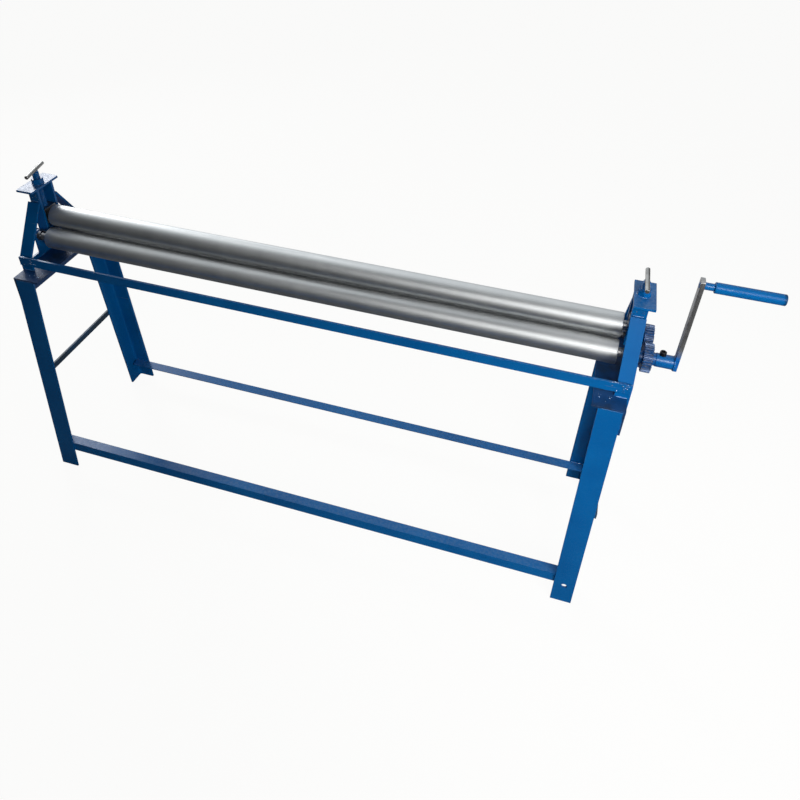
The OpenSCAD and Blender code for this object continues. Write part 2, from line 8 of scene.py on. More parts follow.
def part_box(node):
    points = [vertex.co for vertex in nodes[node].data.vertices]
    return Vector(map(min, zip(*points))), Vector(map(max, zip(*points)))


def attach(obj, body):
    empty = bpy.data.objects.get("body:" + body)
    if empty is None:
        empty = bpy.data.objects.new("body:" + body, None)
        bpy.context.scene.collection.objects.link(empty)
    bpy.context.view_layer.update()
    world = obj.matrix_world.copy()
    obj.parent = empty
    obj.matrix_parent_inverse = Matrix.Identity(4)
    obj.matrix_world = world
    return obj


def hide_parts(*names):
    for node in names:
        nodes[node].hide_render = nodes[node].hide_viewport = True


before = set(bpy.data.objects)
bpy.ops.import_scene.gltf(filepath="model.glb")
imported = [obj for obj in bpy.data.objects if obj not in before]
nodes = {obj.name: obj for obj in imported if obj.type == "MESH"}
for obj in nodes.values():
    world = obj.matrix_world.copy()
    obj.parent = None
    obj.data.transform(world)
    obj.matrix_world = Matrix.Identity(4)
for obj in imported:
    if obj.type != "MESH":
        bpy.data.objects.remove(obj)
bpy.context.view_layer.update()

scene = bpy.context.scene
rng = random.Random(41)

# All lengths are in metres. SIDES are the crank end and the other end, ENDS are the front and the back.
SIDES = (1, -1)
ENDS = (-1, 1)


def centre(node):
    lo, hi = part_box(node)
    return (lo + hi) / 2


# Axes of the turning pieces
FRONT = centre("front_roller")
REAR = centre("rear_roller")
TOP = centre("top_roller")
IDLER = centre("idler_gear")
GRIP = centre("grip_sleeve")

# Boxes of the pieces that the welds follow, at the right end where the left end has the same piece
CROSS_LO, CROSS_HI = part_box("right_crosspiece")
PLATE_LO, PLATE_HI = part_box("right_side_plate")
GUIDE_LO, GUIDE_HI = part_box("right_guides")
BRACE_LO, BRACE_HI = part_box("right_front_brace")
CAP_LO, CAP_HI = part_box("right_cap")
LEG_LO, LEG_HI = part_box("right_front_leg")
STRETCHER_LO, STRETCHER_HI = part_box("right_stretcher")
TIE_LO, TIE_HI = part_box("front_tie_bar")
ARM_LO, ARM_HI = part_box("crank_arm")

# Thickness of the flat bars, axis of the right adjusting screw, outer face of a leg at its top, and how far
# the legs lean out
FLAT = PLATE_HI.x - PLATE_LO.x
SCREW_X = 0.686
LEG_TOP_Y = CROSS_HI.y
SPLAY = math.atan((-LEG_LO.y - LEG_TOP_Y) / LEG_HI.z)


# Shader nodes


class Tree:
    """Adds shader nodes to a node tree and links them.

    A value that goes into a socket is a number, a colour, a vector or another node's output.
    """

    # Sockets of the mix node, which has a set of them for each data type
    FACTOR, NUMBER_A, NUMBER_B, COLOUR_A, COLOUR_B = 0, 2, 3, 6, 7
    NUMBER_OUT, COLOUR_OUT = 0, 2

    def __init__(self, tree):
        self.tree = tree
        self.tree.nodes.clear()

    def add(self, kind, **settings):
        node = self.tree.nodes.new(kind)
        for key, setting in settings.items():
            setattr(node, key, setting)
        return node

    def put(self, socket, value):
        if isinstance(value, bpy.types.NodeSocket):
            self.tree.links.new(value, socket)
        else:
            socket.default_value = value

    def math(self, operation, a, b=0.0, clamp=False):
        node = self.add("ShaderNodeMath", operation=operation, use_clamp=clamp)
        self.put(node.inputs[0], a)
        self.put(node.inputs[1], b)
        return node.outputs[0]

    def times(self, a, b):
        return self.math("MULTIPLY", a, b)

    def vector(self, operation, a, b=None):
        """Vector arithmetic. A dot product or a length comes out as a number."""
        node = self.add("ShaderNodeVectorMath", operation=operation)
        self.put(node.inputs[0], a)
        if b is not None:
            self.put(node.inputs[1], b)
        return node.outputs["Value" if operation in ("DOT_PRODUCT", "LENGTH") else "Vector"]

    def split(self, vector):
        """The X, Y and Z outputs of a vector."""
        node = self.add("ShaderNodeSeparateXYZ")
        self.put(node.inputs[0], vector)
        return node.outputs

    def ramp(self, value, lo, hi, out_lo=0.0, out_hi=1.0, shape="LINEAR"):
        """Takes lo to out_lo and hi to out_hi, and stays there beyond them."""
        node = self.add("ShaderNodeMapRange", clamp=True, interpolation_type=shape)
        self.put(node.inputs["Value"], value)
        self.put(node.inputs["From Min"], lo)
        self.put(node.inputs["From Max"], hi)
        self.put(node.inputs["To Min"], out_lo)
        self.put(node.inputs["To Max"], out_hi)
        return node.outputs["Result"]

    def mix(self, factor, a, b):
        """A colour between the colours a and b."""
        node = self.add("ShaderNodeMix", data_type="RGBA")
        self.put(node.inputs[self.FACTOR], factor)
        self.put(node.inputs[self.COLOUR_A], a)
        self.put(node.inputs[self.COLOUR_B], b)
        return node.outputs[self.COLOUR_OUT]

    def blend(self, factor, a, b):
        """A number between the numbers a and b."""
        node = self.add("ShaderNodeMix", data_type="FLOAT")
        self.put(node.inputs[self.FACTOR], factor)
        self.put(node.inputs[self.NUMBER_A], a)
        self.put(node.inputs[self.NUMBER_B], b)
        return node.outputs[self.NUMBER_OUT]

    def shader(self, kind, **values):
        """A shader node. Each value goes to the input of that name, with spaces for underscores."""
        node = self.add(kind)
        for key, value in values.items():
            self.put(node.inputs[key.replace("_", " ")], value)
        return node.outputs[0]

    def sum(self, a, b):
        node = self.add("ShaderNodeAddShader")
        self.put(node.inputs[0], a)
        self.put(node.inputs[1], b)
        return node.outputs[0]

    def choose(self, factor, a, b):
        """Shader a where the factor is 0, and shader b where it is 1."""
        node = self.add("ShaderNodeMixShader")
        self.put(node.inputs[0], factor)
        self.put(node.inputs[1], a)
        self.put(node.inputs[2], b)
        return node.outputs[0]


class Graph(Tree):
    """The node tree of a new material."""

    BEVEL_SAMPLES = 4

    def __init__(self, name):
        self.mat = bpy.data.materials.new(name)
        self.mat.use_nodes = True
        super().__init__(self.mat.node_tree)
        self.out = self.add("ShaderNodeOutputMaterial")
        self.place = self.add("ShaderNodeTexCoord").outputs["Object"]
        self.geometry = self.add("ShaderNodeNewGeometry")
        self.facing = self.geometry.outputs["Normal"]

    def stretched(self, x, y, z):
        """The place on the object, scaled apart along each axis."""
        node = self.add("ShaderNodeMapping")
        self.put(node.inputs["Vector"], self.place)
        self.put(node.inputs["Scale"], (x, y, z))
        return node.outputs["Vector"]

    def noise(self, scale, detail=3.0, rough=0.5, place=None):
        node = self.add("ShaderNodeTexNoise")
        self.put(node.inputs["Vector"], self.place if place is None else place)
        self.put(node.inputs["Scale"], scale)
        self.put(node.inputs["Detail"], detail)
        self.put(node.inputs["Roughness"], rough)
        return node.outputs["Fac"]

    def grain(self, detail, rough, scales):
        """Noise that is drawn out, with its own scale along each axis."""
        return self.noise(1.0, detail, rough, self.stretched(*scales))

    def bump(self, height, strength, distance, normal):
        node = self.add("ShaderNodeBump")
        self.put(node.inputs["Height"], height)
        self.put(node.inputs["Strength"], strength)
        self.put(node.inputs["Distance"], distance)
        self.put(node.inputs["Normal"], normal)
        return node.outputs["Normal"]

    def edges(self, radius):
        """A rounded normal, and how far it turns from the flat one."""
        bevel = self.add("ShaderNodeBevel", samples=self.BEVEL_SAMPLES)
        self.put(bevel.inputs["Radius"], radius)
        rounded = bevel.outputs["Normal"]
        return rounded, self.math("SUBTRACT", 1.0, self.vector("DOT_PRODUCT", rounded, self.facing))

    def finish(self, shader):
        """Gives the material this shader."""
        self.put(self.out.inputs["Surface"], shader)
        return self.mat

    def surface(self, **values):
        return self.finish(self.shader("ShaderNodeBsdfPrincipled", **values))


# Colours, in linear light


def rgb(red, green, blue):
    return (red, green, blue, 1.0)


def grey(level):
    return rgb(level, level, level)


BLUE, BLUE_PALE = rgb(0.0012, 0.120, 0.385), rgb(0.0020, 0.152, 0.455)
BLUE_STAIN, BLUE_SPRAY = rgb(0.008, 0.080, 0.240), rgb(0.0022, 0.130, 0.45)
# Dull, greasy blues of the crosspieces, darkened further as painted shade
BLUE_DULL_SHADE, BLUE_GREASY_SHADE = rgb(0.0012, 0.060, 0.215), rgb(0.005, 0.030, 0.090)
BLUE_ROLLED, BLUE_THIN = rgb(0.030, 0.060, 0.095), rgb(0.012, 0.070, 0.160)
# Gear blues, darker than the stand's as painted shade
BLUE_GEAR_SHADED, BLUE_GEAR_SHADED_PALE = rgb(0.0012, 0.075, 0.26), rgb(0.0022, 0.105, 0.34)
# The middle colour here is the darker blue of the grip's outer end
DUST, END_DARK, GREASE = rgb(0.28, 0.36, 0.44), rgb(0.004, 0.030, 0.080), rgb(0.02, 0.02, 0.022)
CHIPPED, SCUFFED, RUBBED, WORN = grey(0.27), grey(0.2), rgb(0.33, 0.34, 0.35), grey(0.62)
POLISHED, POLISHED_PALE = rgb(0.56, 0.575, 0.58), rgb(0.62, 0.63, 0.63)
DRAW_MARK, FRECKLE, RUST = rgb(0.40, 0.41, 0.42), rgb(0.16, 0.10, 0.06), rgb(0.17, 0.09, 0.045)
BLACKENED = rgb(0.012, 0.012, 0.014)


# Materials


def paint(name, chips, dirt, gloss=0.24, shine=0.24, darker_from=None):
    """Gloss blue paint over steel: uneven tone, stains, dust on top faces, chipped edges and scratches.

    chips and dirt are how much shows, gloss is the roughness and shine the specular level. Past the X that
    the last argument gives, the paint turns darker.
    """
    stained, end_darkening, end_fade, end_waver = 0.55, 0.7, 0.004, 0.006
    smoother, rougher, dust_rough, chip_rough, chip_metal = 0.05, 0.07, 0.35, 0.42, 0.9
    graph = Graph(name)
    soft, edge = graph.edges(0.0012)
    broad = graph.noise(9.0, 4.0)
    fine = graph.noise(160.0, 5.0, 0.6)
    tiny = graph.noise(900.0)

    tone = graph.mix(graph.ramp(broad, 0.35, 0.7), BLUE, BLUE_PALE)
    stain = graph.ramp(graph.noise(34.0, 6.0, 0.65), 0.58, 0.74)
    tone = graph.mix(graph.times(stain, dirt * stained), tone, BLUE_STAIN)
    upward = graph.ramp(graph.split(graph.facing)["Z"], 0.6, 1.0)
    dust = graph.times(upward, graph.ramp(fine, 0.42, 0.7, 0.05, 0.30))
    tone = graph.mix(graph.times(dust, dirt), tone, DUST)
    # Darker paint past a given X, at the grip's outer end
    if darker_from is not None:
        along = graph.math("ADD", graph.split(graph.place)["X"], graph.times(fine, end_waver))
        end_mask = graph.ramp(along, darker_from, darker_from + end_fade)
        tone = graph.mix(graph.times(end_mask, end_darkening), tone, END_DARK)

    chip = graph.times(graph.ramp(edge, 0.05, 0.22), graph.ramp(fine, 0.53, 0.64))
    scratch = graph.ramp(graph.noise(60.0, 2.0, 0.4, graph.stretched(0.25, 1.0, 7.0)), 0.755, 0.78)
    wear = graph.math("MAXIMUM", chip, graph.times(scratch, graph.ramp(broad, 0.5, 0.6)))
    wear = graph.math("MULTIPLY", wear, chips, clamp=True)
    normal = graph.bump(graph.noise(420.0, 2.0), 0.10, 0.0004, soft)
    rough = graph.ramp(tiny, 0.3, 0.7, gloss - smoother, gloss + rougher)
    rough = graph.math("ADD", rough, graph.times(dust, dust_rough))
    return graph.surface(
        Base_Color=graph.mix(wear, tone, CHIPPED),
        Metallic=graph.times(wear, chip_metal),
        Roughness=graph.blend(wear, rough, chip_rough),
        Specular_IOR_Level=shine,
        Normal=graph.bump(wear, 0.35, 0.0002, normal),
    )


def dull_paint(name, thin):
    """Blue paint dulled by grease and filings. Where thin is 0, its blues are also darkened as painted shade.
    thin, from 0 to 1, lets the dark rolled steel show through.
    """
    graph = Graph(name)
    soft, edge = graph.edges(0.0010)
    broad = graph.noise(22.0, 5.0, 0.6)
    fine = graph.noise(300.0, 4.0)
    full = graph.mix(graph.ramp(broad, 0.42, 0.66), BLUE_DULL_SHADE, BLUE_GREASY_SHADE)
    worn = graph.mix(graph.ramp(broad, 0.40, 0.62), BLUE_ROLLED, BLUE_THIN)
    scuff = graph.times(graph.ramp(edge, 0.05, 0.25), graph.ramp(fine, 0.5, 0.62))
    return graph.surface(
        Base_Color=graph.mix(scuff, graph.mix(thin, full, worn), SCUFFED),
        Roughness=graph.ramp(fine, 0.3, 0.7, 0.42, 0.60),
        Normal=graph.bump(fine, 0.15, 0.0003, soft),
    )


def gear_paint(name, axis, root):
    """Gear paint, darkened all over as painted shade, rubbed off the teeth and greasy beyond the root radius
    about the axis.
    """
    root_fade, greasy, rub_metal = 0.0015, 0.6, 0.85
    graph = Graph(name)
    soft, edge = graph.edges(0.0005)
    across = graph.vector("MULTIPLY", graph.vector("SUBTRACT", graph.place, axis), (0.0, 1.0, 1.0))
    teeth = graph.ramp(graph.vector("LENGTH", across), root, root + root_fade)
    flank = graph.ramp(graph.math("ABSOLUTE", graph.split(graph.facing)["X"]), 0.3, 0.7, 1.0, 0.0)
    fine = graph.noise(260.0, 4.0, 0.6)
    rub = graph.times(graph.times(teeth, flank), graph.ramp(fine, 0.40, 0.66, 0.05, 0.55))
    chip = graph.times(graph.ramp(edge, 0.06, 0.3), graph.ramp(fine, 0.45, 0.6))
    rub = graph.math("MAXIMUM", rub, chip, clamp=True)
    grease = graph.times(graph.ramp(graph.noise(120.0), 0.5, 0.66), teeth)
    tone = graph.mix(graph.ramp(graph.noise(30.0), 0.4, 0.7), BLUE_GEAR_SHADED, BLUE_GEAR_SHADED_PALE)
    tone = graph.mix(rub, tone, RUBBED)
    return graph.surface(
        Base_Color=graph.mix(graph.times(grease, greasy), tone, GREASE),
        Metallic=graph.times(rub, rub_metal),
        Roughness=graph.ramp(fine, 0.3, 0.7, 0.25, 0.42),
        Normal=graph.bump(fine, 0.15, 0.0003, soft),
    )


def roller_steel(name):
    """Polished tube: turned rings and bands along X, long draw marks, cloudy tone and faint rust freckles."""
    graph = Graph(name)
    soft, _ = graph.edges(0.0008)
    rings = graph.grain(4.0, 0.7, (2600.0, 26.0, 26.0))
    bands = graph.grain(2.0, 0.5, (90.0, 6.0, 6.0))
    drawn = graph.grain(4.0, 0.6, (3.0, 520.0, 520.0))
    cloud = graph.noise(14.0, 5.0, 0.6)
    tone = graph.mix(graph.ramp(cloud, 0.35, 0.7), POLISHED, POLISHED_PALE)
    tone = graph.mix(graph.ramp(drawn, 0.62, 0.78, 0.0, 0.14), tone, DRAW_MARK)
    freckle = graph.ramp(graph.noise(480.0, 2.0), 0.75, 0.80, 0.0, 0.20)
    tone = graph.mix(graph.times(freckle, graph.ramp(cloud, 0.5, 0.65)), tone, FRECKLE)
    banded = graph.ramp(bands, 0.3, 0.7, 0.46, 0.50)
    rough = graph.math("ADD", banded, graph.ramp(cloud, 0.4, 0.75, 0.0, 0.03))
    relief = graph.math("ADD", graph.times(rings, 0.6), graph.times(drawn, 0.3))
    return graph.surface(
        Base_Color=tone,
        Metallic=1.0,
        Roughness=rough,
        Normal=graph.bump(relief, 0.018, 0.0002, soft),
        Anisotropic=0.35,
        Specular_IOR_Level=0.5,
    )


def bare_steel(name, dark, pale, grain, rust, rough=(0.30, 0.46), sprayed_to=None):
    """Drawn, turned or milled steel: grain, cloudy tone, rust spots and worn edges.

    dark and pale are the ends of the tone, rough those of the roughness, and grain the scales of the grain
    along the axes. Up to the height sprayed_to it is covered in blue overspray.
    """
    groove, plain_metal, rust_metal, spray_fade, spray_waver = 0.55, 0.95, 0.2, 0.035, 0.03
    graph = Graph(name)
    soft, edge = graph.edges(0.0006)
    lines = graph.grain(5.0, 0.65, grain)
    cloud = graph.noise(48.0, 4.0)
    tone = graph.mix(graph.ramp(cloud, 0.35, 0.68), rgb(*dark), rgb(*pale))
    tone = graph.mix(graph.ramp(lines, 0.55, 0.75, 0.0, 0.4), tone, rgb(*[part * groove for part in dark]))
    spots = graph.times(graph.ramp(graph.noise(210.0, 4.0, 0.6), 0.60, 0.70), graph.ramp(cloud, 0.45, 0.6))
    rusty = graph.times(spots, rust)
    tone = graph.mix(rusty, tone, RUST)
    tone = graph.mix(graph.ramp(edge, 0.08, 0.3, 0.0, 0.5), tone, WORN)
    metal = graph.blend(rusty, plain_metal, rust_metal)
    if sprayed_to is not None:
        height = graph.math("ADD", graph.split(graph.place)["Z"], graph.times(cloud, spray_waver))
        spray = graph.ramp(height, sprayed_to, sprayed_to + spray_fade, 1.0, 0.0)
        tone = graph.mix(spray, tone, BLUE_SPRAY)
        metal = graph.blend(spray, metal, 0.0)
    return graph.surface(
        Base_Color=tone,
        Metallic=metal,
        Roughness=graph.ramp(lines, 0.3, 0.7, *rough),
        Normal=graph.bump(lines, 0.12, 0.0003, soft),
    )


def black_steel(name):
    """Blackened steel with worn edges."""
    graph = Graph(name)
    soft, edge = graph.edges(0.0005)
    fine = graph.noise(500.0)
    return graph.surface(
        Base_Color=graph.mix(graph.ramp(edge, 0.1, 0.35, 0.0, 0.6), BLACKENED, SCUFFED),
        Metallic=0.5,
        Roughness=graph.ramp(fine, 0.3, 0.7, 0.30, 0.45),
        Normal=graph.bump(fine, 0.1, 0.0002, soft),
    )


STAND_PAINT = paint("blue_stand", chips=0.55, dirt=0.35)
FRAME_PAINT = paint("blue_end_frame", chips=0.75, dirt=0.30)
BRACE_PAINT = paint("blue_brace", chips=0.75, dirt=0.30, shine=0.06)
HANDLED_PAINT = paint("blue_handled", chips=0.8, dirt=0.15, gloss=0.24, shine=0.40)
GRIP_PAINT = paint("blue_grip", chips=0.55, dirt=0.1, gloss=0.23, shine=0.19, darker_from=0.914)
CAP_PAINT = paint("blue_cap", chips=0.9, dirt=0.80, gloss=0.26, shine=0.26)
RAIL_PAINT = paint("blue_floor_rail", chips=0.6, dirt=0.6, gloss=0.28)
WELD_PAINT = paint("blue_weld", chips=1.0, dirt=0.2, gloss=0.12, shine=1.0)
THIN_PAINT = dull_paint("blue_dull", thin=1.0)
GRIMY_SHADED_PAINT = dull_paint("blue_grimy_painted_shade", thin=0.0)
FRONT_TEETH = gear_paint("front_gear_teeth", FRONT, root=0.0262)
REAR_TEETH = gear_paint("rear_gear_teeth", REAR, root=0.0262)
IDLER_TEETH = gear_paint("idler_gear_teeth", IDLER, root=0.0142)
ROLLER_STEEL = roller_steel("roller_tube")
ARM_STEEL = bare_steel("crank_bar", (0.30, 0.30, 0.30), (0.44, 0.44, 0.44), (300.0, 300.0, 12.0),
                       rust=0.35, rough=(0.34, 0.5), sprayed_to=0.668)
DRAWN_STEEL = bare_steel("drawn_bar", (0.26, 0.26, 0.255), (0.42, 0.42, 0.41), (300.0, 14.0, 300.0), rust=0.3)
TURNED_STEEL = bare_steel("turned_steel", (0.34, 0.34, 0.34), (0.50, 0.50, 0.50), (1400.0, 40.0, 40.0),
                          rust=0.25, rough=(0.22, 0.36))
BUSH_STEEL = bare_steel("bearing_bush", (0.13, 0.14, 0.16), (0.22, 0.23, 0.25), (1200.0, 40.0, 40.0),
                        rust=0.2)
MILLED_STEEL = bare_steel("milled_block", (0.22, 0.22, 0.225), (0.36, 0.36, 0.365), (60.0, 60.0, 700.0),
                          rust=0.4)
SPATTER_STEEL = bare_steel("weld_spatter", (0.34, 0.50, 0.72), (0.50, 0.66, 0.86), (300.0, 300.0, 300.0),
                           rust=0.0, rough=(0.10, 0.22))
BLACK_STEEL = black_steel("black_screw")

# Material and slot of each CAD node
FINISHES = (
    (STAND_PAINT, "blue_paint", ("left_front_leg", "left_rear_leg", "right_front_leg", "right_rear_leg")),
    # The crosspieces' greasy paint is darkened as painted shade
    (GRIMY_SHADED_PAINT, "blue_paint", ("left_crosspiece", "right_crosspiece")),
    (THIN_PAINT, "blue_paint", ("left_stretcher", "right_stretcher")),
    (RAIL_PAINT, "blue_paint", ("front_rail", "rear_rail")),
    (FRAME_PAINT, "blue_paint", ("front_tie_bar", "rear_tie_bar", "left_side_plate", "right_side_plate",
                                 "left_guides", "right_guides", "screw_nuts")),
    (BRACE_PAINT, "blue_paint", ("left_front_brace", "left_rear_brace",
                                 "right_front_brace", "right_rear_brace")),
    (CAP_PAINT, "blue_paint", ("left_cap", "right_cap")),
    (HANDLED_PAINT, "blue_paint", ("crank_socket", "grip_spindle", "left_screw", "right_screw")),
    (GRIP_PAINT, "blue_paint", ("grip_sleeve",)),
    (FRONT_TEETH, "blue_paint", ("front_gear",)),
    (REAR_TEETH, "blue_paint", ("rear_gear",)),
    (IDLER_TEETH, "blue_paint", ("idler_gear",)),
    (ROLLER_STEEL, "roller_steel", ("top_roller", "front_roller", "rear_roller")),
    (TURNED_STEEL, "bare_steel", ("top_journals", "front_left_journal", "front_drive_journal",
                                  "rear_left_journal", "rear_drive_journal", "front_collar", "rear_collar",
                                  "idler_stud", "idler_stud_nut", "idler_washer",
                                  "grip_washer", "grip_nut", "retaining_pins")),
    (BUSH_STEEL, "bare_steel", ("lower_bushes",)),
    (MILLED_STEEL, "bare_steel", ("left_block", "right_block", "front_gear_key", "rear_gear_key")),
    (DRAWN_STEEL, "bare_steel", ("left_tee_bar", "right_tee_bar")),
    (ARM_STEEL, "bare_steel", ("crank_arm",)),
    (BLACK_STEEL, "black_steel", ("idler_screw", "clamp_screw", "front_collar_screw", "rear_collar_screw")),
)
finish_of = {name: (material, slot) for material, slot, names in FINISHES for name in names}
for name, node in nodes.items():
    material, slot = finish_of[name]
    node.data.materials.clear()
    node.data.materials.append(material)


# Meshes of the details


def make(name, verts, faces, material, body):
    """A smooth-shaded piece that rides on a body."""
    mesh = bpy.data.meshes.new(name)
    mesh.from_pydata([tuple(vert) for vert in verts], [], faces)
    mesh.validate()
    mesh.polygons.foreach_set("use_smooth", [True] * len(mesh.polygons))
    mesh.materials.append(material)
    mesh.update()
    piece = bpy.data.objects.new(name, mesh)
    scene.collection.objects.link(piece)
    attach(piece, body)
    return piece


class Beads:
    """Weld beads and spatter that are gathered into one mesh."""

    AROUND = 8
    RIPPLE, ROWS_PER_RIPPLE, FEWEST_ROWS = 0.0032, 5, 6
    # Shares of the width: just before the next ripple, what a ripple's start adds, and a small unevenness
    HOLLOW, CREST = 0.78, 0.30
    SHIVER, SHIVER_RATE = 0.05, 900.0
    # Sideways shift, as a share of the width
    WANDER, WANDER_RATE, WANDER_START = 0.06, 230.0, 999.0
    # Tip of an open bead as a share of the width, and what it gains over a length that is given in widths
    END_WIDTH, END_GROWTH, END_LENGTH = 0.35, 3.2, 3
    # Height of a bead as a share of its width
    HEIGHT = 0.62
    DROP_RINGS, DROP_AROUND, DROP_SQUASH = 4, 6, (0.75, 1.1)

    def __init__(self):
        self.verts, self.faces = [], []

    def run(self, path, up, width, closed=False):
        """A flattened, rippled bead along the points of path.

        up points out of the joint. It is a direction, or a function that gives it for a place on the path.
        """
        points = [Vector(point) for point in path]
        if closed:
            points.append(points[0])
        lengths = [(after - before).length for before, after in zip(points, points[1:])]
        total = sum(lengths)
        steps = max(self.FEWEST_ROWS, int(total / (self.RIPPLE / self.ROWS_PER_RIPPLE)))
        base = len(self.verts)
        rows = steps if closed else steps + 1
        for row in range(rows):
            gone = total * row / steps
            leg, rest = 0, gone
            while leg < len(lengths) - 1 and rest > lengths[leg]:
                rest -= lengths[leg]
                leg += 1
            place = points[leg].lerp(points[leg + 1], min(1.0, rest / lengths[leg]))
            ahead = (points[leg + 1] - points[leg]).normalized()
            out = up(place) if callable(up) else Vector(up)
            out = (out - ahead * out.dot(ahead)).normalized()
            self.section(place, ahead.cross(out), out, *self.shape(gone, total, width, closed))
        for row in range(rows if closed else rows - 1):
            self.band(base + row * self.AROUND, base + (row + 1) % rows * self.AROUND)
        if not closed:
            last = base + (rows - 1) * self.AROUND
            self.faces.append(tuple(base + j for j in range(self.AROUND)))
            self.faces.append(tuple(last + j for j in reversed(range(self.AROUND))))

    def shape(self, gone, total, width, closed):
        """Radius and sideways shift of a bead at the distance gone from its start, out of the total."""
        phase = (gone / self.RIPPLE) % 1.0
        swell = self.HOLLOW + self.CREST * math.sqrt(max(0.0, 1.0 - phase))
        swell += self.SHIVER * math.sin(gone * self.SHIVER_RATE)
        growth = self.END_GROWTH * min(gone, total - gone) / (width * self.END_LENGTH)
        taper = 1.0 if closed else min(1.0, self.END_WIDTH + growth)
        shift = self.WANDER * width * math.sin(gone * self.WANDER_RATE + total * self.WANDER_START)
        return width / 2 * swell * taper, shift

    def section(self, place, side, out, radius, shift):
        for j in range(self.AROUND):
            angle = 2 * math.pi * j / self.AROUND
            across = side * (math.cos(angle) * radius + shift)
            self.verts.append(place + across + out * (math.sin(angle) * radius * self.HEIGHT))

    def band(self, low, high):
        """Faces between the sections that start at the vertices low and high."""
        for j in range(self.AROUND):
            after = (j + 1) % self.AROUND
            self.faces.append((low + j, high + j, high + after, low + after))

    def drop(self, place, radius):
        """A spatter drop: a small lumpy ball."""
        rings, around = self.DROP_RINGS, self.DROP_AROUND
        base = len(self.verts)
        middle = Vector(place)
        x, y, z = [radius * rng.uniform(*self.DROP_SQUASH) for _ in range(3)]
        self.verts.append(middle + Vector((0, 0, z)))
        for ring_number in range(1, rings):
            tilt = math.pi * ring_number / rings
            for j in range(around):
                angle = 2 * math.pi * (j + 0.5 * (ring_number % 2)) / around
                self.verts.append(middle + Vector((
                    math.sin(tilt) * math.cos(angle) * x,
                    math.sin(tilt) * math.sin(angle) * y,
                    math.cos(tilt) * z,
                )))
        self.verts.append(middle - Vector((0, 0, z)))
        top, bottom = base + 1, base + 1 + (rings - 2) * around
        for j in range(around):
            after = (j + 1) % around
            self.faces.append((base, top + j, top + after))
            for low in range(top, bottom, around):
                self.faces.append((low + j, low + around + j, low + around + after, low + after))
            self.faces.append((bottom + j, bottom + around, bottom + after))

    def make(self, name, material, body, slot):
        make(name, self.verts, self.faces, material, body)


def ring(middle, radius, count=40, start=0.0, sweep=360.0):
    """Points about an axis along X, from the angle start on through sweep, in degrees."""
    angles = [math.radians(start + sweep * i / count) for i in range(count)]
    x, y, z = middle
    return [(x, y + radius * math.cos(angle), z + radius * math.sin(angle)) for angle in angles]


def away_from(axis, lean):
    """The direction away from an axis along X, leaning along it."""
    return lambda place: Vector((lean, place.y - axis.y, place.z - axis.z))


# Welds of the two end frames
SEAM = 0.0045
SEAM_WIDE, SEAM_SLIM, SEAM_THIN, SEAM_FINE = SEAM * 1.1, SEAM * 0.9, SEAM * 0.8, SEAM * 0.7
INSET = 0.001
stand = Beads()


def seam(side, start, stop, up, width=SEAM):
    """A straight bead. start, stop and up are given for the right end and mirrored for the left one."""
    stand.run([(side * x, y, z) for x, y, z in (start, stop)], (side * up[0], up[1], up[2]), width)


def brace_welds(side, end):
    """The brace's foot on the crosspiece, and its head against the guide."""
    head_lift = 0.0005
    inside, floor_z = BRACE_LO.x, CROSS_HI.z
    outer, inner = end * -BRACE_LO.y, end * (-BRACE_LO.y - FLAT)
    seam(side, (inside + INSET, outer, floor_z), (CROSS_HI.x, outer, floor_z), (0, end, 1))
    seam(side, (inside, inner, floor_z), (inside, outer, floor_z), (-1, 0, 1))
    seam(side, (inside + 2 * INSET, inner, floor_z), (PLATE_LO.x, inner, floor_z), (0, -end, 1))
    head_y, head_z = end * GUIDE_HI.y, BRACE_HI.z + head_lift
    seam(side, (inside + INSET, head_y, head_z), (GUIDE_HI.x, head_y, head_z), (0, end, 1), SEAM_WIDE)


def guide_welds(side, end):
    """The guide's head under the cap, and its stitches to the column."""
    return_length, corner = 0.006, 0.0232
    stitches, first, pitch, length = 3, 0.006, 0.034, 0.018
    column_x, column_y = PLATE_HI.x - FLAT, end * corner
    face, under = end * GUIDE_HI.y, CAP_LO.z
    seam(side, (GUIDE_LO.x, face, under), (GUIDE_HI.x, face, under), (0, end, -1), SEAM_SLIM)
    corner_y = end * (GUIDE_HI.y - return_length)
    seam(side, (GUIDE_LO.x, corner_y, under), (GUIDE_LO.x, face, under), (-1, 0, -1), SEAM_THIN)
    for stitch in range(stitches):
        z = GUIDE_LO.z + first + stitch * pitch
        seam(side, (column_x, column_y, z), (column_x, column_y, z + length), (1, end, 0), SEAM_THIN)


def tie_bar_welds(side, end):
    """The tie bar's end on the brace: outside, inside, below and above."""
    outside_top, inside_top, above, gap, drop, stand_off = 0.013, 0.012, 0.0135, 0.0005, 0.0002, 0.0008
    inside, outside, foot = BRACE_LO.x, TIE_HI.x, TIE_LO.z
    joint = end * (-TIE_LO.y - FLAT)
    upper = joint + end * stand_off
    seam(side, (outside, joint, foot + INSET), (outside, joint, foot + outside_top), (1, end, 0))
    seam(side, (inside - gap, joint, foot + INSET), (inside - gap, joint, foot + inside_top), (-1, -end, 0))
    seam(side, (inside + INSET, joint, foot - drop), (outside - INSET, joint, foot - drop),
         (0, end * 0.4, -1), SEAM_THIN)
    seam(side, (inside, upper, foot + above), (outside, upper, foot + above), (0, -end * 0.2, 1), SEAM_FINE)


def leg_welds(side, end):
    """The leg's top under the crosspiece, and down its outer corner."""
    flange, sunk, tucked, proud, first, last = 0.016, 0.0004, 0.002, 0.0015, 0.004, 0.045
    face, top = end * LEG_TOP_Y, LEG_HI.z
    seam_y = face - end * sunk
    seam(side, (CROSS_LO.x + flange, seam_y, top), (LEG_HI.x, seam_y, top), (0, end, -0.6), SEAM_THIN)
    seam(side, (LEG_HI.x, face - end * tucked, top - first), (LEG_HI.x, face + end * proud, top - last),
         (0.4, end, 0), SEAM_THIN)


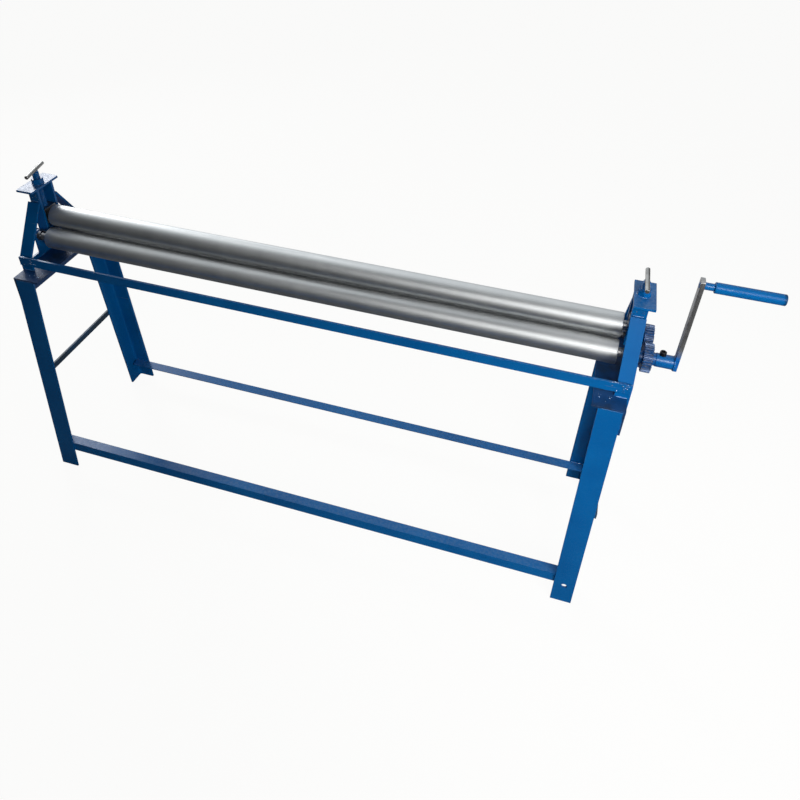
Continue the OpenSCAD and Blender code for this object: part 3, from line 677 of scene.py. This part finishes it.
def stretcher_welds(side, end):
    """The stretcher's end on the leg, upright and along its top."""
    top_from, top_to = 0.03, 0.004
    x, tip, top = LEG_HI.x, STRETCHER_HI.y, STRETCHER_HI.z
    seam(side, (x, end * tip, STRETCHER_LO.z + INSET), (x, end * tip, top - INSET), (1, end, 0))
    seam(side, (x, end * (tip - top_from), top), (x, end * (tip - top_to), top), (1, 0, 1), SEAM_THIN)


def plate_welds(side):
    """The plate's foot on the crosspiece, in stitches inside and at its corners outside, and its head."""
    stitches, first, pitch, length = 5, -0.092, 0.041, 0.020
    corner_from, corner_to, half_column = 0.060, 0.098, 0.020
    for stitch in range(stitches):
        y = first + stitch * pitch
        seam(side, (PLATE_LO.x, y, CROSS_HI.z), (PLATE_LO.x, y + length, CROSS_HI.z), (-1, 0, 1))
    for start, stop in ((-corner_to, -corner_from), (corner_from, corner_to)):
        seam(side, (CROSS_HI.x, start, PLATE_LO.z), (CROSS_HI.x, stop, PLATE_LO.z), (1, 0, -1), SEAM_THIN)
    seam(side, (PLATE_HI.x, -half_column, CAP_LO.z), (PLATE_HI.x, half_column, CAP_LO.z), (1, 0, -1))


def nut_weld(side):
    """Round the nut on the cap."""
    radius, rise, width, count = 0.0128, 0.012, 0.0036, 36
    screw_x = side * SCREW_X
    angles = [2 * math.pi * i / count for i in range(count)]
    path = [(screw_x + radius * math.cos(angle), radius * math.sin(angle), CAP_HI.z) for angle in angles]
    stand.run(path, lambda place: Vector((place.x - screw_x, place.y, rise)).normalized(), width, closed=True)


def bush_welds(side):
    """Round the bushes in the ears, inside and outside."""
    radius, lean, width = 0.0126, 0.7, 0.0028
    for axis in (FRONT, REAR):
        for x, outward in ((PLATE_LO.x, -1), (PLATE_HI.x, 1)):
            path = ring((side * x, axis.y, axis.z), radius)
            stand.run(path, away_from(axis, side * outward * lean), width, closed=True)


def rail_welds(side, end, rail):
    """The floor rail's end in the leg, down its face and along its top."""
    face_in, face_drop, top_in, tuck_face, tuck_top, length = 0.048, 0.0005, 0.047, 0.0022, 0.002, 0.022
    rail_lo, rail_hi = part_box(rail)
    face = rail_lo.y if end < 0 else rail_hi.y
    lean = Vector((0, -end * math.sin(SPLAY), math.cos(SPLAY)))
    top = Vector((LEG_HI.x - face_in, face - end * tuck_face, rail_hi.z - face_drop))
    seam(side, top, top - lean * length, (-1, -end * 0.4, 0.1), SEAM_THIN)
    top_y = face - end * tuck_top
    seam(side, (LEG_HI.x - top_in, top_y, rail_hi.z), (rail_hi.x, top_y, rail_hi.z), (0, -end, 1), SEAM_FINE)


for side in SIDES:
    for end in ENDS:
        brace_welds(side, end)
        guide_welds(side, end)
        tie_bar_welds(side, end)
        leg_welds(side, end)
        stretcher_welds(side, end)
    plate_welds(side)
    nut_weld(side)
    bush_welds(side)
for side in SIDES:
    rail_welds(side, -1, "front_rail")
    rail_welds(side, 1, "rear_rail")
stand.make("frame_welds", WELD_PAINT, "frame", "blue_paint")

# Spatter on the ends of the front tie bar, on the front guides and on the crosspieces before the braces
TIE_DROPS, GUIDE_DROPS, FOOT_DROPS = 26, 14, 10
TIE_SPOTS_X = (0.655, 0.697)
GUIDE_SPOTS_X, GUIDE_SPOTS_Z = (0.671, 0.694), (0.731, 0.756)
FOOT_SPOTS_X, FOOT_SPOTS_Y = (0.640, 0.668), (-0.13, -0.108)
FACE_DROP, EDGE_DROP, SMALL_DROP = (0.0008, 0.0017), (0.0008, 0.0016), (0.0006, 0.0013)
spatter = Beads()


def tie_bar_drop(side):
    """A drop on the tie bar's face or on its upper edge."""
    proud, margin = 0.0001, 0.0005
    x = side * rng.uniform(*TIE_SPOTS_X)
    if rng.random() < 0.5:
        place = (x, TIE_LO.y - proud, rng.uniform(TIE_LO.z + INSET, TIE_HI.z - INSET))
        spatter.drop(place, rng.uniform(*FACE_DROP))
    else:
        place = (x, rng.uniform(TIE_LO.y + margin, TIE_LO.y + FLAT - margin), TIE_HI.z)
        spatter.drop(place, rng.uniform(*EDGE_DROP))


for side in SIDES:
    for _ in range(TIE_DROPS):
        tie_bar_drop(side)
    for _ in range(GUIDE_DROPS):
        place = (side * rng.uniform(*GUIDE_SPOTS_X), GUIDE_LO.y, rng.uniform(*GUIDE_SPOTS_Z))
        spatter.drop(place, rng.uniform(*SMALL_DROP))
    for _ in range(FOOT_DROPS):
        place = (side * rng.uniform(*FOOT_SPOTS_X), rng.uniform(*FOOT_SPOTS_Y), CROSS_HI.z)
        spatter.drop(place, rng.uniform(*SMALL_DROP))
spatter.make("weld_spatter", SPATTER_STEEL, "frame", "blue_paint")


def crank_welds():
    """The socket on the arm, the grip's spindle in the arm, and the spindle's riveted end."""
    socket_radius, socket_width, socket_lean = 0.0143, 0.0040, -0.011
    spindle_radius, spindle_width, spindle_lean = 0.0073, 0.0030, 0.006
    rivet_radius, rivet_width, rivet_lean = 0.0040, 0.0040, 0.01
    beads = Beads()
    socket = ring((ARM_LO.x, FRONT.y, FRONT.z), socket_radius, count=44, start=35, sweep=290)
    beads.run(socket, away_from(FRONT, socket_lean), socket_width)
    spindle = ring((ARM_HI.x, GRIP.y, GRIP.z), spindle_radius)
    beads.run(spindle, away_from(GRIP, spindle_lean), spindle_width, closed=True)
    rivet = ring((ARM_LO.x, GRIP.y, GRIP.z), rivet_radius, count=26)
    beads.run(rivet, (-1, 0, rivet_lean), rivet_width, closed=True)
    beads.make("crank_welds", WELD_PAINT, "front_roll", "blue_paint")


def plug_welds(name, axis, body):
    """The joints of the journals in both ends of a roller tube."""
    plug_x, radius, width, lean = 0.6612, 0.0207, 0.0034, 0.001
    beads = Beads()
    for side in SIDES:
        beads.run(ring((side * plug_x, axis.y, axis.z), radius), (side, 0.0, lean), width, closed=True)
    beads.make(name, TURNED_STEEL, body, "bare_steel")


crank_welds()
plug_welds("front_plug_welds", FRONT, "front_roll")
plug_welds("rear_plug_welds", REAR, "rear_roll")
plug_welds("top_plug_welds", TOP, "top_roll")

# Threaded stems of the adjusting screws. The gain and the cut flatten the thread's crests and roots, and
# where it runs out the stem has RUN_OUT of the crest's radius. The foot's outline is height and radius.
THREAD_PITCH, THREAD_ROOT, THREAD_CREST, THREAD_FADE = 0.002, 0.0069, 0.0080, 0.003
THREAD_AROUND, ROWS_PER_PITCH = 48, 8
RIDGE_GAIN, RIDGE_CUT, RUN_OUT = 1.35, 0.12, 0.985
SHOULDER_Z, THREAD_START, THREAD_STOP = 0.7052, 0.0012, 0.0105
FOOT = (
    (0.0, 0.0046), (0.0004, 0.0050), (0.0016, 0.0050), (0.0016, 0.0035),
    (0.0050, 0.0035), (0.0050, 0.0050), (0.0081, 0.0050), (0.0081, 0.0065),
)
HEAD_RADIUS, HEAD_STEP, HEAD_LENGTH = 0.0078, 0.0004, 0.0032
HEAD_ROUND, ROUND_RADIUS, TOP_RADIUS = 0.0012, 0.0076, 0.0060


def thread_radius(height, share, low, high):
    """Radius of the thread at a height and a share of the turn. It runs out towards low and high."""
    ridge = 1.0 - abs(2.0 * ((height / THREAD_PITCH - share) % 1.0) - 1.0)
    depth = min(1.0, max(0.0, RIDGE_GAIN * ridge - RIDGE_CUT))
    cut = THREAD_ROOT + (THREAD_CREST - THREAD_ROOT) * depth
    full = max(0.0, min(1.0, (height - low) / THREAD_FADE, (high - height) / THREAD_FADE))
    return THREAD_CREST * (1 - full) * RUN_OUT + cut * full


def stem(name, x, body, stands_for):
    """A threaded stem in place of an adjusting screw, whose CAD shape has no thread."""
    lo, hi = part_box(stands_for)
    low, high = SHOULDER_Z + THREAD_START, hi.z - THREAD_STOP
    around = THREAD_AROUND
    rows = [(lo.z + height, radius) for height, radius in FOOT]
    height = low
    while height < high:
        rows.append((height, None))
        height += THREAD_PITCH / ROWS_PER_PITCH
    rows += [
        (high + HEAD_STEP, HEAD_RADIUS), (hi.z - HEAD_LENGTH, HEAD_RADIUS),
        (hi.z - HEAD_ROUND, ROUND_RADIUS), (hi.z, TOP_RADIUS),
    ]
    verts, faces = [], []
    for height, radius in rows:
        for j in range(around):
            angle = 2 * math.pi * j / around
            here = thread_radius(height, j / around, low, high) if radius is None else radius
            verts.append((x + here * math.cos(angle), here * math.sin(angle), height))
    last = (len(rows) - 1) * around
    for row in range(0, last, around):
        for j in range(around):
            after = (j + 1) % around
            faces.append((row + j, row + after, row + around + after, row + around + j))
    faces.append(tuple(reversed(range(around))))
    faces.append(tuple(last + j for j in range(around)))
    piece = make(name, verts, faces, HANDLED_PAINT, body)
    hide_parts(stands_for)


stem("left_threaded_stem", -SCREW_X, "left_adjuster", "left_screw")
stem("right_threaded_stem", SCREW_X, "right_adjuster", "right_screw")


def tee_welds(name, bar, body, turn):
    """The welds of a tee bar in its saddle, one on each side. turn is the bar's angle in degrees."""
    aside, down, half, width, dip = 0.0040, 0.0030, 0.0062, 0.0040, 0.8
    angle = math.radians(turn)
    along = Vector((-math.sin(angle), math.cos(angle), 0))
    across = Vector((along.y, -along.x, 0))
    beads = Beads()
    for flank in (-1, 1):
        middle = centre(bar) + across * (flank * aside) - Vector((0, 0, down))
        up = across * flank - Vector((0, 0, dip))
        beads.run([middle - along * half, middle, middle + along * half], up, width)
    beads.make(name, WELD_PAINT, body, "blue_paint")


tee_welds("left_tee_welds", "left_tee_bar", "left_adjuster", turn=13.0)
tee_welds("right_tee_welds", "right_tee_bar", "right_adjuster", turn=0.0)

# Pale floor. The camera sees a glow and a little diffuse light, which keeps the shadow. Other rays see it
# dark near the object and glowing behind.
FLOOR_HALF = 9
FLOOR_SEEN, FLOOR_GLOW, FLOOR_GLOW_COLOUR = grey(0.06), 0.945, rgb(1.0, 1.0, 0.993)
FLOOR_ROOM, FLOOR_BACK, FLOOR_BACK_Y = grey(0.20), 0.60, (0.2, 1.4)


def floor_material():
    graph = Graph("floor_pale")
    glow = graph.shader("ShaderNodeEmission", Color=FLOOR_GLOW_COLOUR, Strength=FLOOR_GLOW)
    seen = graph.sum(graph.shader("ShaderNodeBsdfDiffuse", Color=FLOOR_SEEN), glow)
    depth = graph.split(graph.geometry.outputs["Position"])["Y"]
    back = graph.shader("ShaderNodeEmission", Strength=graph.ramp(depth, *FLOOR_BACK_Y, 0.0, FLOOR_BACK))
    room = graph.sum(graph.shader("ShaderNodeBsdfDiffuse", Color=FLOOR_ROOM), back)
    from_camera = graph.add("ShaderNodeLightPath").outputs["Is Camera Ray"]
    return graph.finish(graph.choose(from_camera, room, seen))


floor_mesh = bpy.data.meshes.new("floor")
floor_mesh.from_pydata([(x * FLOOR_HALF, y * FLOOR_HALF, 0) for x, y in ((-1, -1), (1, -1), (1, 1), (-1, 1))],
                       [], [(0, 1, 2, 3)])
floor_mesh.materials.append(floor_material())
floor = bpy.data.objects.new("floor", floor_mesh)
scene.collection.objects.link(floor)

# World. The camera sees it pale. Other rays see a glow high at the back left, dimmed unless they are glossy.
SKY_SEEN, SKY_COLOUR = rgb(0.96, 0.96, 0.953), rgb(0.93, 0.97, 1.0)
GLOW_TOWARDS, GLOW_SPREAD, GLOW_LEVELS = (-0.50, 0.62, 0.60), (0.30, 0.98), (0.075, 1.30)
DIFFUSE_SHARE = 0.28

world = bpy.data.worlds.new("studio")
scene.world = world
world.use_nodes = True
sky = Tree(world.node_tree)
rays = sky.add("ShaderNodeLightPath").outputs
nearness = sky.vector("DOT_PRODUCT", sky.add("ShaderNodeTexCoord").outputs["Generated"],
                      Vector(GLOW_TOWARDS).normalized())
sky_glow = sky.ramp(nearness, *GLOW_SPREAD, *GLOW_LEVELS, shape="SMOOTHSTEP")
share = sky.ramp(rays["Is Glossy Ray"], 0.0, 1.0, DIFFUSE_SHARE, 1.0)
sky_room = sky.shader("ShaderNodeBackground", Color=SKY_COLOUR, Strength=sky.times(sky_glow, share))
sky_seen = sky.shader("ShaderNodeBackground", Color=SKY_SEEN)
sky_shader = sky.choose(rays["Is Camera Ray"], sky_room, sky_seen)
sky.put(sky.add("ShaderNodeOutputWorld").inputs["Surface"], sky_shader)


def softbox(name, at, aim, size, power, spread):
    """A rectangular light at a place, aimed at another. spread is in degrees."""
    light = bpy.data.lights.new(name, "AREA")
    light.shape = "RECTANGLE"
    light.size, light.size_y = size
    light.energy = power
    light.spread = math.radians(spread)
    lamp = bpy.data.objects.new(name, light)
    scene.collection.objects.link(lamp)
    lamp.location = at
    lamp.rotation_mode = "QUATERNION"
    lamp.rotation_quaternion = (Vector(aim) - Vector(at)).to_track_quat("-Z", "Y")


softbox("key", at=(1.30, -1.45, 1.85), aim=(0.95, 0.0, 0.50), size=(1.9, 1.6), power=6.0, spread=78.0)
softbox("side", at=(2.30, -1.60, 1.00), aim=(0.75, 0.0, 0.42), size=(0.9, 0.9), power=6.0, spread=80.0)
softbox("glint", at=(1.10, -1.60, 1.85), aim=(0.80, 0.0, 0.55), size=(0.24, 0.24), power=0.9, spread=70.0)
softbox("rim", at=(-2.55, 1.90, 2.05), aim=(-0.6, 0.0, 0.7), size=(0.8, 0.8), power=17.0, spread=140.0)

# Camera at the photograph's angle, as solved from it: its place, its turn as a rotation vector, and in pixels
# its focal length, the middle of its view and the photograph's width
CAMERA_AT = (0.5262, -1.2203, 1.5878)
CAMERA_TURN = Vector((2.1718, 0.3308, -0.1342))
FOCAL_PIXELS, MIDDLE_PIXELS, PHOTO_PIXELS = 726.2, (395.1, 282.6), 800.0
SENSOR_MM = 36.0

camera_data = bpy.data.cameras.new("camera")
camera_data.sensor_width = SENSOR_MM
camera_data.lens = FOCAL_PIXELS * SENSOR_MM / PHOTO_PIXELS
camera_data.shift_x = (PHOTO_PIXELS / 2 - MIDDLE_PIXELS[0]) / PHOTO_PIXELS
camera_data.shift_y = -(PHOTO_PIXELS / 2 - MIDDLE_PIXELS[1]) / PHOTO_PIXELS
camera_data.clip_start, camera_data.clip_end = 0.05, 60.0
camera = bpy.data.objects.new("camera", camera_data)
scene.collection.objects.link(camera)
right, down, ahead = Matrix.Rotation(CAMERA_TURN.length, 3, CAMERA_TURN.normalized())
axes = Matrix((right, -down, -ahead)).transposed()
camera.matrix_world = Matrix.Translation(CAMERA_AT) @ axes.to_4x4()
scene.camera = camera

scene.view_settings.view_transform = "Standard"
scene.view_settings.look = "None"
